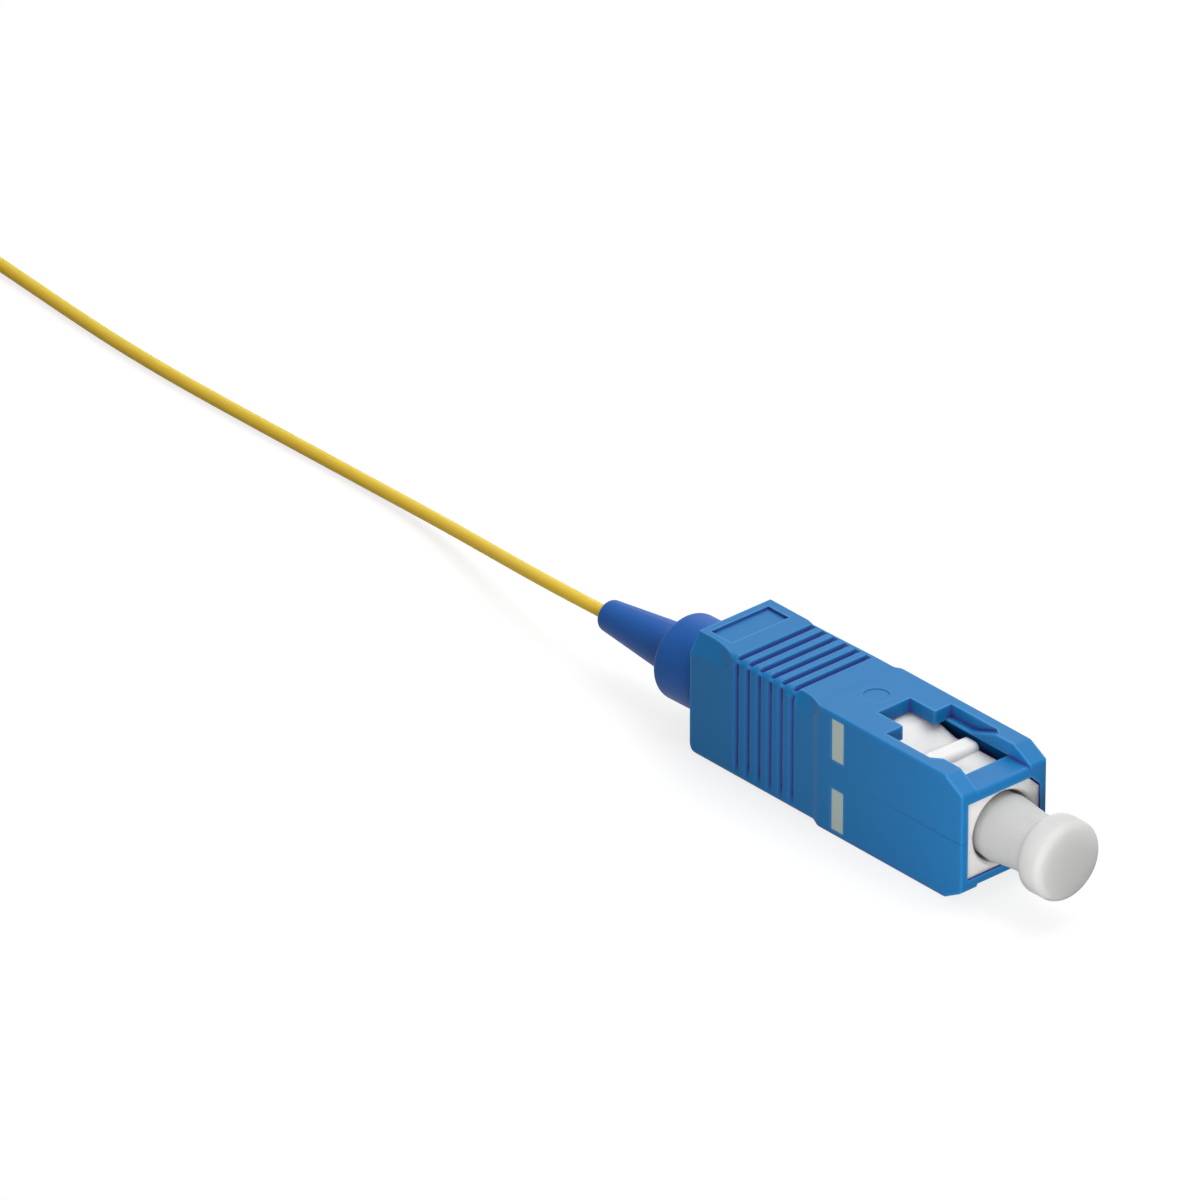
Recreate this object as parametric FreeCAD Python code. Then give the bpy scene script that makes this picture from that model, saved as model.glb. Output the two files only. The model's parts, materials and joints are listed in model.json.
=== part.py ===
"""Push-pull square fibre connector on a tight-buffered pigtail, with its dust cap on.

Millimetres. The origin is on the ferrule axis, in the front plane of the outer housing.
+X points out of the mating end and +Z up through one of the two latch windows. The side
with the indicator marks is -Y and the side with the key is +Y. The connector lies on its
lower narrow face, and the pigtail runs back along the same surface to a tied hank.
"""
import FreeCAD, Part
import math
import os

V = FreeCAD.Vector
OVER = 1.0                  # how far a cutter runs past the face that it opens

# Outer housing, outside
BODY_WIDTH = 7.4            # across Y, the part that enters the adapter
BODY_HEIGHT = 9.0           # across Z
HOUSING_LENGTH = 26.2
BODY_LENGTH = 13.6          # front to the end of the flare
EDGE_RADIUS = 0.15
NOSE_LENGTH = 1.7           # front chamfer above and below
NOSE_DROP = 0.95
NOSE_BEND_RADIUS = 0.5      # where a chamfer meets the body
FRONT_EDGE_RADIUS = 0.3     # across the front, above and below
FRONT_SIDE_RADIUS = 0.15    # upright edges of the front
GRIP_STEP_SIDE = 0.15       # grip set in from the body's sides
GRIP_STEP_TOP = 0.1
GRIP_EDGE_RADIUS = 0.14
GRIP_FOOT_RADIUS = 0.34     # lower edge on the marked side
GRIP_HEEL_RADIUS = 0.8      # lower edge of the rear end
FLARE_LENGTH = 0.85         # S-shaped step from the grip to the body
FLARE_STEPS = 6
GROOVE_COUNT = 6
GROOVE_PITCH = 1.06
GROOVE_WIDTH = 0.48
GROOVE_FLOOR = 0.2          # flat width at the bottom
GROOVE_SETBACK = 1.99       # middle of the front groove behind the flare
GROOVE_DEPTH_TOP = 0.36
GROOVE_DEPTH_SIDE = 0.3
GROOVE_MARGIN = 0.15        # from a groove's end to the edge of the marked side
GROOVE_MARGIN_FAR = 0.3     # and to the edge of the key side
GROOVE_END_RADIUS = 0.6
GROOVE_FOOT = 1.0           # from the lower edge to where a side groove starts to run out
GROOVE_RUN_OUT = 0.8
GROOVE_EDGE_RADIUS = 0.11
GROOVE_FLOOR_RADIUS = 0.07
END_RIDGE = 0.3             # thickness of the ridge at each end of the grooves
RIDGE_CORNER = 0.55         # radius of the marked side's upper corner along the ridges
RIDGE_DIP = 0.4             # radius of the other upper corner at the rear of the ridges
RIDGE_BLEND = 0.3           # length in which those radii set in
BEVEL_REACH = 1.0
REAR_BEVEL = (              # x from the grip's rear end, width on top, width on the side, lift
    (-OVER, 1.0, 1.3, 0.0), (1.2, 0.79, 1.2, 0.0))
REAR_BEVEL_RUN_OUT = (      # the same, x from the rear of the ridges
    (-1.5, 0.66, 1.14, 0.0), (-0.4, 0.32, 1.07, 0.0), (0.5, 0.1, 0.98, 0.1))
FRONT_BEVEL = (             # the same corner between the ridges and the body, x from the flare
    (-2.45, 0.2, 0.42, 0.0), (-1.85, 0.44, 0.87, 0.0), (-1.25, 0.51, 1.03, 0.0),
    (-0.65, 0.46, 1.0, 0.0), (0.0, 0.28, 0.84, 0.0), (0.85, 0.05, 0.5, 0.0),
    (1.35, 0.05, 0.36, 0.1))
KEY_WIDTH = 2.1
KEY_HEIGHT = 1.05
KEY_SETBACK = 1.0           # rear end of the key in front of the flare's end
KEY_BEVEL = 0.35
MARK_LENGTH = 1.15
MARK_FROM_MIDDLE = 1.05
MARK_MARGIN = 0.4           # from a mark to the body's edge
MARK_SETBACK = 1.2          # rear end of the marks in front of the flare's end
MARK_RECESS = 0.2
PAINT_THICKNESS = 0.15
LABEL_LENGTH = 2.0
LABEL_WIDTH = 5.0
LABEL_OFFSET = 0.24         # towards the key side, since the bevel narrows the face
LABEL_MARGIN = 0.6
LABEL_DEPTH = 0.2
EJECTOR_RADIUS = 0.9
EJECTOR_DEPTH = 0.05
EJECTOR_SETBACK = 1.4

# Outer housing, inside and windows
SLIDE_GAP = 0.05            # running clearance beside the plug frame
WALL_SIDE = 0.55            # body wall on the wide sides
WALL_TOP = 1.0              # body wall above and below
CAVITY_CORNER = 0.4         # drop of the cavity's slanted corners
BAR_LENGTH = 2.15           # front cross-bar, along X
BAR_THICKNESS = 0.7
MOUTH_CORNER_EASE = 0.07    # front opening's chamfers are smaller than the frame's
RAIL_SIDE_GAP = 0.1         # between a rail and the ledges of its window
WINDOW_REAR = -8.15
LEDGE_WIDTH = 0.55
LEDGE_THICKNESS = 0.15      # at its free edge
RAMP_START = -5.75
RAMP_END = -3.3
RAMP_RADIUS = 2.0
POCKET_CORNER = 0.85        # length of the slanted corner at the pocket's front
SLOT_WIDTH = 2.8            # narrow rear part of the window
SLOT_REAR = -10.5
TRAVEL = 2.0                # pull-back of the housing that frees the latches
LUG_LENGTH = 1.0
LUG_WIDTH = 1.8
LUG_HEIGHT = 0.38
LUG_SETBACK = 1.6           # front of the lug before the frame's rear

# Plug frame
FRAME_SETBACK = 0.1         # behind the housing's front plane
FRAME_REAR = -15.5
KEYED_CORNER = 0.9          # chamfer on the key side
RAIL_WIDTH = 4.4
RAIL_GAP = 0.1              # below the cavity's ceiling
RAIL_RISE = 0.65            # above the frame's face
RAIL_FRONT = -9.3
RAIL_SLOPE = 2.4
CATCH_RECESS = 0.05         # low zone behind the catch, below the frame's face
CATCH_REAR = -6.75
CATCH_FRONT = -4.8
CATCH_HEIGHT = 0.5
MOUTH_RADIUS = 2.5
MOUTH_CHAMFER = 0.2
MOUTH_DEPTH = 8.3
BULKHEAD = 1.0
SPRING_BORE_RADIUS = 2.4
STOP_BORE_STEP = 0.15       # stop ring's bore, wider than the spring's
STOP_BORE_SPARE = 0.2       # and deeper than the ring's barrel
SNAP_LENGTH = 0.9
SNAP_WIDTH = 2.4
SNAP_SETBACK = 2.2          # front of the snap teeth before the frame's rear
SNAP_REACH = 0.35           # of the teeth beyond the ring's bore
FIT_GAP = 0.05

# Ferrule, flange, spring and fibre
FERRULE_RADIUS = 1.25
FERRULE_LENGTH = 10.5
FERRULE_TIP = 0.9           # in front of the housing's front plane
FERRULE_CHAMFER = 0.4
FUNNEL_RADIUS = 0.45
FUNNEL_LENGTH = 0.8
GLASS_RADIUS = 0.0625
NOSE_RADIUS = 1.85
NOSE_REACH = 0.5            # of the flange, in front of the bulkhead
COLLAR_LENGTH = 1.3
COLLAR_GAP = 0.03
NOTCH_WIDTH = 0.7
NOTCH_DEPTH = 0.55
TAIL_GAP = 0.21             # between the flange's tail and the spring
TAIL_LENGTH = 3.1
FLOAT = 1.0                 # rearward travel of the ferrule
LEAD_RADIUS = 0.45
BARE_BORE_RADIUS = 0.3
BARE_BORE_LENGTH = 1.0
GUIDE_RADIUS = 0.85
GUIDE_SEAT = 1.0
GUIDE_LENGTH = 7.0
WIRE_RADIUS = 0.2
SPRING_GAP = 0.09           # between the spring and the stop ring's bore
SPRING_TURNS = 4.0

# Stop ring and boot
BARREL_WALL = 0.35
BARREL_LENGTH = 2.9
SPRING_SEAT_SETBACK = 0.4   # spring's seat before the frame's rear
STOP_COLLAR_STEP = 0.45     # collar's radius beyond the barrel's
STOP_COLLAR_LENGTH = 0.9
STOP_TAIL_RADIUS = 1.9
STOP_TAIL_LENGTH = 6.0
STOP_BORE = 1.3
BARB_HEIGHT = 0.12
BARB_LENGTH = 1.0
BARB_COUNT = 3
BOOT_RADIUS = 3.03
BOOT_SHOULDER_X = -30.62
BOOT_SHOULDER_ROUND = 0.5
BOOT_ROOT_RADIUS = 1.85
BOOT_ROOT_BLEND = 0.65
BOOT_TIP_X = -38.2
BOOT_TIP_RADIUS = 1.08
BOOT_TIP_ROUND = 0.35
BOOT_BORE_GAP = 0.02
BEND_X = -20.0              # behind it the lead and the boot hang a little
BEND_ANGLE = 1.6            # degrees below the axis

# Dust cap
CAP_SKIRT_GAP = 1.3         # from the skirt's end to the flange
CAP_BORE_GAP = 0.03         # round the ferrule
CAP_TIP_GAP = 1.4           # before the ferrule's tip
CAP_MOUTH_GAP = 0.3         # between the skirt and the frame's mouth
CAP_COLLAR_STEP = 0.12      # of the thicker ring in front of the frame
CAP_NECK_STEP = 0.14        # of the waist, below the skirt
CAP_NECK_X = 2.5
CAP_HEAD_RADIUS = 2.8
CAP_HEAD_REAR = 4.3
CAP_HEAD_ROUND = 0.4
CAP_END_X = 6.17
CAP_END_ROUND = 0.5

# Pigtail: its route on the surface, then a tied hank
FLOOR_Z = -BODY_HEIGHT / 2
LAID_Z = FLOOR_Z + LEAD_RADIUS
BOOT_TIP = (BEND_X + (BOOT_TIP_X - BEND_X) * math.cos(math.radians(BEND_ANGLE)), 0.0,
            (BOOT_TIP_X - BEND_X) * math.sin(math.radians(BEND_ANGLE)))
CORD_ROUTE = [
    BOOT_TIP, (-42.0, 0.13, -0.7), (-46.5, 0.85, -1.35), (-51.5, 2.01, -2.3),
    (-57.0, 3.19, -3.25), (-63.0, 3.9, -3.88), (-70.0, 4.02, LAID_Z),
    (-78.0, 3.93, LAID_Z), (-86.0, 3.9, LAID_Z), (-92.5, 4.12, LAID_Z),
    (-98.5, 4.6, LAID_Z), (-104.5, 5.18, LAID_Z), (-110.5, 5.62, LAID_Z + 0.1),
    (-117.0, 5.7, LAID_Z + 0.25),
]
HANK_RUN = 14.4             # straight part of the hank
HANK_COLUMNS = 3
HANK_LAYERS = 6
HANK_INNER_RADIUS = 2.7     # of the innermost turn's centre line
HANK_LOOP_X = -115.0        # centre of the loop nearest the connector
HANK_Y = 1.2
TIE_THICKNESS = 0.25
TIE_WIDTH = 2.0
TIE_HEAD = (3.0, 3.4, 1.5)
TIE_ROUND = 0.3

# Worked out from the sizes above
BODY_REAR = -BODY_LENGTH
FLARE_REAR = BODY_REAR - FLARE_LENGTH
GRIP_WIDTH = BODY_WIDTH - 2 * GRIP_STEP_SIDE
GRIP_HEIGHT = BODY_HEIGHT - 2 * GRIP_STEP_TOP
GROOVE_FRONT = FLARE_REAR - GROOVE_SETBACK
RIDGES_FRONT = GROOVE_FRONT + GROOVE_WIDTH / 2 + END_RIDGE
RIDGES_REAR = GROOVE_FRONT - (GROOVE_COUNT - 1) * GROOVE_PITCH - GROOVE_WIDTH / 2 - END_RIDGE
KEY_LENGTH = BODY_LENGTH - NOSE_LENGTH - KEY_SETBACK
MARK_REAR = BODY_REAR + MARK_SETBACK
CAVITY_WIDTH = BODY_WIDTH - 2 * WALL_SIDE
CAVITY_HEIGHT = BODY_HEIGHT - 2 * WALL_TOP
WINDOW_WIDTH = RAIL_WIDTH + 2 * RAIL_SIDE_GAP
LEDGE_TOP = CAVITY_HEIGHT / 2 + LEDGE_THICKNESS
FRAME_WIDTH = CAVITY_WIDTH - 2 * SLIDE_GAP
FRAME_FRONT = -FRAME_SETBACK
RAIL_HEIGHT = CAVITY_HEIGHT - 2 * RAIL_GAP
FRAME_HEIGHT = RAIL_HEIGHT - 2 * RAIL_RISE
CATCH_FLOOR = FRAME_HEIGHT / 2 - CATCH_RECESS
FRONT_HEIGHT = FRAME_HEIGHT + 2 * SLIDE_GAP
BAR_TOP = FRONT_HEIGHT / 2 + BAR_THICKNESS
LUG_FRONT = FRAME_REAR + LUG_SETBACK
SNAP_FRONT = FRAME_REAR + SNAP_SETBACK
BULKHEAD_FRONT = FRAME_FRONT - MOUTH_DEPTH
BULKHEAD_REAR = BULKHEAD_FRONT - BULKHEAD
STOP_BORE_RADIUS = SPRING_BORE_RADIUS + STOP_BORE_STEP
BARREL_RADIUS = STOP_BORE_RADIUS - FIT_GAP
BARREL_BORE_RADIUS = BARREL_RADIUS - BARREL_WALL
STOP_COLLAR_RADIUS = BARREL_RADIUS + STOP_COLLAR_STEP
STOP_COLLAR_FRONT = FRAME_REAR - FIT_GAP / 2
STOP_COLLAR_REAR = STOP_COLLAR_FRONT - STOP_COLLAR_LENGTH
STOP_TAIL_REAR = STOP_COLLAR_REAR - STOP_TAIL_LENGTH
SPRING_SEAT_X = FRAME_REAR + SPRING_SEAT_SETBACK
SPRING_RADIUS = BARREL_BORE_RADIUS - SPRING_GAP - WIRE_RADIUS
COLLAR_RADIUS = SPRING_BORE_RADIUS - 2 * FIT_GAP
COLLAR_FRONT = BULKHEAD_REAR - COLLAR_GAP
COLLAR_REAR = COLLAR_FRONT - COLLAR_LENGTH
TAIL_RADIUS = SPRING_RADIUS - WIRE_RADIUS - TAIL_GAP
TAIL_REAR = COLLAR_REAR - TAIL_LENGTH
FERRULE_REAR = FERRULE_TIP - FERRULE_LENGTH
LEAD_DIAMETER = 2 * LEAD_RADIUS
LEAD_BORE_RADIUS = LEAD_RADIUS + FIT_GAP
BARE_BORE_END = FERRULE_REAR - BARE_BORE_LENGTH
GLASS_REAR = BARE_BORE_END - FIT_GAP
LEAD_START = GLASS_REAR - FLOAT - FIT_GAP
CAP_BORE_RADIUS = FERRULE_RADIUS + CAP_BORE_GAP
CAP_BORE_END = FERRULE_TIP + CAP_TIP_GAP
CAP_SKIRT_END = BULKHEAD_FRONT + NOSE_REACH + CAP_SKIRT_GAP
CAP_SKIRT_RADIUS = MOUTH_RADIUS - CAP_MOUTH_GAP
CAP_NECK_RADIUS = CAP_SKIRT_RADIUS - CAP_NECK_STEP
HANK_OUTER = HANK_INNER_RADIUS + (HANK_COLUMNS - 0.5) * LEAD_DIAMETER
HANK_INNER = HANK_INNER_RADIUS - LEAD_RADIUS
HANK_BOTTOM = FLOOR_Z + TIE_THICKNESS
HANK_TOP = HANK_BOTTOM + HANK_LAYERS * LEAD_DIAMETER


# Shapes from outlines

def outline(points, radii, place):
    """Closed wire through (u, v) points; each corner is rounded by its own radius."""
    count = len(points)
    radii = radii if isinstance(radii, (list, tuple)) else [radii] * count
    corners = [V(u, v, 0) for u, v in points]
    arcs = []
    for i, corner in enumerate(corners):
        back = (corners[i - 1] - corner).normalize()
        ahead = (corners[(i + 1) % count] - corner).normalize()
        half = back.getAngle(ahead) / 2
        reach = radii[i] / math.tan(half)
        middle = corner + (back + ahead).normalize() * (radii[i] / math.sin(half) - radii[i])
        arcs.append((corner + back * reach, middle, corner + ahead * reach))
    edges = []
    for i, (start, middle, end) in enumerate(arcs):
        before = arcs[i - 1][2]
        if (start - before).Length > 1e-6:
            edges.append(Part.LineSegment(place(before), place(start)).toShape())
        if radii[i] > 0:
            edges.append(Part.Arc(place(start), place(middle), place(end)).toShape())
    return Part.Wire(edges)


def along_x(points, x_from, x_to, radii=0):
    """Solid with a (y, z) section from x_from to x_to."""
    wire = outline(points, radii, lambda p: V(x_from, p.x, p.y))
    return Part.Face(wire).extrude(V(x_to - x_from, 0, 0))


def along_y(points, y_from, y_to, radii=0):
    """Solid with an (x, z) profile from y_from to y_to."""
    wire = outline(points, radii, lambda p: V(p.x, y_from, p.y))
    return Part.Face(wire).extrude(V(0, y_to - y_from, 0))


def along_z(points, z_from, z_to, radii=0):
    """Solid with an (x, y) plan from z_from to z_to."""
    wire = outline(points, radii, lambda p: V(p.x, p.y, z_from))
    return Part.Face(wire).extrude(V(0, 0, z_to - z_from))


def turned(points, radii=0):
    """Solid of revolution about the X axis from an (x, radius) outline."""
    wire = outline(points, radii, lambda p: V(p.x, 0, p.y))
    return Part.Face(wire).revolve(V(0, 0, 0), V(1, 0, 0), 360)


def rod(x_from, x_to, radius):
    """Cylinder on the X axis."""
    return Part.makeCylinder(radius, x_to - x_from, V(x_from, 0, 0), V(1, 0, 0))


def block(x_from, x_to, y_from, y_to, z_from, z_to):
    """Box between two corners."""
    size = (x_to - x_from, y_to - y_from, z_to - z_from)
    return Part.makeBox(*size, V(x_from, y_from, z_from))


def rectangle(width, height):
    """Corners of a rectangle centred on the axis."""
    return [(-width / 2, -height / 2), (width / 2, -height / 2),
            (width / 2, height / 2), (-width / 2, height / 2)]


def keyed_section(width, height, corner):
    """Corners of a rectangle with both corners of the +Y side chamfered."""
    half_width, half_height = width / 2, height / 2
    return [(-half_width, -half_height), (half_width - corner, -half_height),
            (half_width, corner - half_height), (half_width, half_height - corner),
            (half_width - corner, half_height), (-half_width, half_height)]


def above_and_below(shape):
    """A shape and its mirror image in the horizontal mid plane."""
    return [shape, shape.mirror(V(0, 0, 0), V(0, 0, 1))]


def both_sides(shape):
    """A shape and its mirror image in the vertical mid plane."""
    return [shape, shape.mirror(V(0, 0, 0), V(0, 1, 0))]


# Outer housing

def body_block():
    """Part that enters the adapter, with its chamfered nose and softened front edges."""
    half_width, half_height = BODY_WIDTH / 2, BODY_HEIGHT / 2
    front = half_height - NOSE_DROP
    block_x = along_x(rectangle(BODY_WIDTH, BODY_HEIGHT), BODY_REAR, 0, EDGE_RADIUS)
    side_view = [(BODY_REAR - OVER, -half_height), (-NOSE_LENGTH, -half_height), (0, -front),
                 (0, front), (-NOSE_LENGTH, half_height), (BODY_REAR - OVER, half_height)]
    radii = [0, NOSE_BEND_RADIUS, FRONT_EDGE_RADIUS, FRONT_EDGE_RADIUS, NOSE_BEND_RADIUS, 0]
    top_view = [(BODY_REAR - OVER, -half_width), (0, -half_width), (0, half_width),
                (BODY_REAR - OVER, half_width)]
    return block_x.common(along_y(side_view, -BODY_WIDTH, BODY_WIDTH, radii)).common(
        along_z(top_view, -BODY_HEIGHT, BODY_HEIGHT, [0, FRONT_SIDE_RADIUS, FRONT_SIDE_RADIUS, 0]))


def corner_at(x):
    """How far the step from the grip to the body has gone at x, and the half section there."""
    part = min(max((x - FLARE_REAR) / FLARE_LENGTH, 0), 1)
    blend = 3 * part ** 2 - 2 * part ** 3
    side = BODY_WIDTH / 2 - GRIP_STEP_SIDE * (1 - blend)
    top = BODY_HEIGHT / 2 - GRIP_STEP_TOP * (1 - blend)
    return blend, side, top


def grip_section(x, near_corner=GRIP_EDGE_RADIUS, far_corner=GRIP_EDGE_RADIUS):
    """Outline of the grip or the flare at x, with its own radii at the two upper corners."""
    blend, side, top = corner_at(x)
    radii = [radius + (EDGE_RADIUS - radius) * blend for radius in (
        GRIP_FOOT_RADIUS, GRIP_EDGE_RADIUS, far_corner, near_corner)]
    return outline(rectangle(2 * side, 2 * top), radii, lambda p: V(x, p.x, p.y))


def grip_block():
    """Grip behind the flare; its upper corners are rounder along the ridges."""
    return Part.makeLoft([
        grip_section(-HOUSING_LENGTH),
        grip_section(RIDGES_REAR - RIDGE_BLEND, RIDGE_CORNER),
        grip_section(RIDGES_REAR + RIDGE_BLEND, RIDGE_CORNER, RIDGE_DIP),
        grip_section(RIDGES_FRONT, RIDGE_CORNER),
        grip_section(FLARE_REAR)], True, True)


def flare():
    """S-shaped step between the grip and the body."""
    steps = [FLARE_REAR + FLARE_LENGTH * number / FLARE_STEPS for number in range(FLARE_STEPS + 1)]
    return Part.makeLoft([grip_section(x) for x in steps], True, True)


def grip_heel_cutter():
    """Rounds the lower edge of the grip's rear end."""
    x, z = GRIP_HEEL_RADIUS - HOUSING_LENGTH, GRIP_HEEL_RADIUS - GRIP_HEIGHT / 2
    square = block(x - GRIP_HEEL_RADIUS - OVER, x, -GRIP_WIDTH, GRIP_WIDTH,
                   z - GRIP_HEEL_RADIUS - OVER, z)
    return square.cut(Part.makeCylinder(GRIP_HEEL_RADIUS, 2 * GRIP_WIDTH,
                                        V(x, -GRIP_WIDTH, z), V(0, 1, 0)))


def housing_blank():
    """Body, flare and grip as one solid block."""
    blank = body_block().fuse([grip_block(), flare()]).removeSplitter()
    return blank.cut(grip_heel_cutter())


def bevel_section(x, width_top, width_side, lift):
    """Outline over the upper corner of the marked side, beyond a line from face to face."""
    _, side, top = corner_at(x)
    low, high = V(x, -side, top - width_side), V(x, width_top - side, top)
    along = (high - low).normalize() * BEVEL_REACH
    outward = V(0, -along.z, along.y)
    low, high = low - along + outward * lift, high + along + outward * lift
    return Part.makePolygon([low, high, high + outward, low + outward, low])


def bevel_cutters():
    """Cutters of the two stretches of bevel, which swell and run out along the edge."""
    rear = [bevel_section(x - HOUSING_LENGTH, *sizes) for x, *sizes in REAR_BEVEL]
    rear += [bevel_section(RIDGES_REAR + x, *sizes) for x, *sizes in REAR_BEVEL_RUN_OUT]
    front = [bevel_section(FLARE_REAR + x, *sizes) for x, *sizes in FRONT_BEVEL]
    return [Part.makeLoft(sections, True, False) for sections in (rear, front)]


def groove_profile(middle, surface, depth):
    """(x, height) outline of a groove with a flat floor, sloping walls and soft edges."""
    half, floor = GROOVE_WIDTH / 2, GROOVE_FLOOR / 2
    edge = GROOVE_EDGE_RADIUS * math.tan(math.atan2(depth, half - floor) / 2)
    points = [(middle - half - edge, surface), (middle - half, surface),
              (middle - floor, surface - depth), (middle + floor, surface - depth),
              (middle + half, surface), (middle + half + edge, surface),
              (middle + half + edge, surface + OVER), (middle - half - edge, surface + OVER)]
    radii = [0, GROOVE_EDGE_RADIUS, GROOVE_FLOOR_RADIUS, GROOVE_FLOOR_RADIUS,
             GROOVE_EDGE_RADIUS, 0, 0, 0]
    return points, radii


def groove_ends():
    """Long sections of a top and a side groove, which run out before the grip's edges."""
    top, side = GRIP_HEIGHT / 2, GRIP_WIDTH / 2
    near, far, floor = GROOVE_MARGIN - side, side - GROOVE_MARGIN_FAR, top - GROOVE_DEPTH_TOP
    across = [(near, floor), (far, floor), (far, top + OVER), (near, top + OVER)]
    floor = GROOVE_DEPTH_SIDE - side
    foot, edge = GROOVE_FOOT - top, top - GROOVE_MARGIN
    drop = GROOVE_RUN_OUT * (1 + OVER / GROOVE_DEPTH_SIDE)
    upright = [(floor, foot), (floor, edge), (-side - OVER, edge), (-side - OVER, foot - drop)]
    return across, upright, [GROOVE_END_RADIUS, GROOVE_END_RADIUS, 0, 0]


def groove_cutters():
    """Cutters for the grooves of the upper and the marked face."""
    across, upright, ends = groove_ends()
    above, marked = [], []
    for number in range(GROOVE_COUNT):
        middle = GROOVE_FRONT - number * GROOVE_PITCH
        rear, front = middle - GROOVE_PITCH / 2, middle + GROOVE_PITCH / 2
        points, radii = groove_profile(middle, GRIP_HEIGHT / 2, GROOVE_DEPTH_TOP)
        upper = along_y(points, -GRIP_WIDTH, GRIP_WIDTH, radii)
        above.append(upper.common(along_x(across, rear, front, ends)))
        points, radii = groove_profile(middle, GRIP_WIDTH / 2, GROOVE_DEPTH_SIDE)
        side = along_z([(x, -y) for x, y in points], -GRIP_HEIGHT, GRIP_HEIGHT, radii)
        marked.append(side.common(along_x(upright, rear, front, ends)))
    return above, marked


def label_and_ejector_recesses():
    """Shallow bare label recess on the grip and the round ejector mark on the body."""
    rear = -HOUSING_LENGTH + LABEL_MARGIN
    top = GRIP_HEIGHT / 2
    side = LABEL_OFFSET - LABEL_WIDTH / 2
    label = block(rear, rear + LABEL_LENGTH, side, side + LABEL_WIDTH, top - LABEL_DEPTH,
                  top + OVER)
    ejector = Part.makeCylinder(EJECTOR_RADIUS, OVER,
                                V(BODY_REAR + EJECTOR_SETBACK, 0,
                                  BODY_HEIGHT / 2 - EJECTOR_DEPTH))
    return [label, ejector]


def housing_key():
    """Key rib on the +Y side, set back behind the nose and beveled at its front."""
    base, crest = BODY_WIDTH / 2 - WALL_SIDE / 2, BODY_WIDTH / 2 + KEY_HEIGHT
    front, rear = -NOSE_LENGTH, -NOSE_LENGTH - KEY_LENGTH
    plan = [(rear, base), (front, base), (front, crest - KEY_BEVEL),
            (front - KEY_BEVEL, crest), (rear + KEY_BEVEL, crest), (rear, crest - KEY_BEVEL)]
    return along_z(plan, -KEY_WIDTH / 2, KEY_WIDTH / 2)


def housing_cavity():
    """Space for the plug frame, open at the rear, with the lower opening at the front."""
    half_width, half_height = CAVITY_WIDTH / 2, CAVITY_HEIGHT / 2
    shoulder, ceiling = half_height - CAVITY_CORNER, WINDOW_WIDTH / 2
    octagon = [(half_width, -shoulder), (half_width, shoulder), (ceiling, half_height),
               (-ceiling, half_height), (-half_width, shoulder), (-half_width, -shoulder),
               (-ceiling, -half_height), (ceiling, -half_height)]
    main = along_x(octagon, -HOUSING_LENGTH - OVER, -BAR_LENGTH)
    mouth = keyed_section(CAVITY_WIDTH, FRONT_HEIGHT, KEYED_CORNER - MOUTH_CORNER_EASE)
    front = along_x(mouth, -BAR_LENGTH - OVER, OVER)
    return main.fuse(front)


def window_cutters():
    """Latch window of the upper face: clear opening, ledge pockets with ramps, rear slot."""
    top = BODY_HEIGHT / 2 + OVER
    inside = CAVITY_HEIGHT / 2 - OVER / 2
    half = WINDOW_WIDTH / 2
    opening = block(WINDOW_REAR, -BAR_LENGTH, -half, half, inside, top)
    bar_edge = BAR_TOP - FRONT_EDGE_RADIUS
    over_bar = along_y([(-BAR_LENGTH - OVER, BAR_TOP), (0, BAR_TOP), (0, bar_edge),
                        (OVER, bar_edge), (OVER, top), (-BAR_LENGTH - OVER, top)],
                       -half, half, [0, FRONT_EDGE_RADIUS, 0, 0, 0, 0])
    slot = block(SLOT_REAR, WINDOW_REAR + OVER, -SLOT_WIDTH / 2, SLOT_WIDTH / 2, inside, top)
    rise = (BODY_HEIGHT / 2 - LEDGE_TOP) / (RAMP_END - RAMP_START)
    ramp = [(WINDOW_REAR, LEDGE_TOP), (RAMP_START, LEDGE_TOP),
            (RAMP_END + OVER, BODY_HEIGHT / 2 + rise * OVER), (RAMP_END + OVER, top),
            (WINDOW_REAR, top)]
    outer = half + LEDGE_WIDTH
    pocket = along_y(ramp, -outer, outer, [0, RAMP_RADIUS, 0, 0, 0])
    corner_end = RAMP_END + POCKET_CORNER / 3
    plan = [(WINDOW_REAR, -outer), (corner_end - POCKET_CORNER, -outer), (corner_end, -half),
            (corner_end, half), (corner_end - POCKET_CORNER, outer), (WINDOW_REAR, outer)]
    pocket = pocket.common(along_z(plan, LEDGE_TOP - OVER, top))
    return [opening, over_bar, slot, pocket]


def lug_pocket():
    """Groove in the cavity's ceiling that the frame's lug travels in."""
    rear = LUG_FRONT - LUG_LENGTH - SLIDE_GAP
    front = LUG_FRONT + TRAVEL + SLIDE_GAP
    side = LUG_WIDTH / 2 + SLIDE_GAP
    ceiling = CAVITY_HEIGHT / 2
    return block(rear, front, -side, side, ceiling - OVER / 2,
                 RAIL_HEIGHT / 2 + LUG_HEIGHT + SLIDE_GAP)


def mark_boxes(depth_from, depth_to):
    """Upright boxes at the four indicator marks, between two depths below the side faces."""
    face = BODY_WIDTH / 2
    upper = block(MARK_REAR, MARK_REAR + MARK_LENGTH, face - depth_to, face - depth_from,
                  MARK_FROM_MIDDLE, BODY_HEIGHT / 2 - MARK_MARGIN)
    return [mark for pair in above_and_below(upper) for mark in both_sides(pair)]


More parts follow.
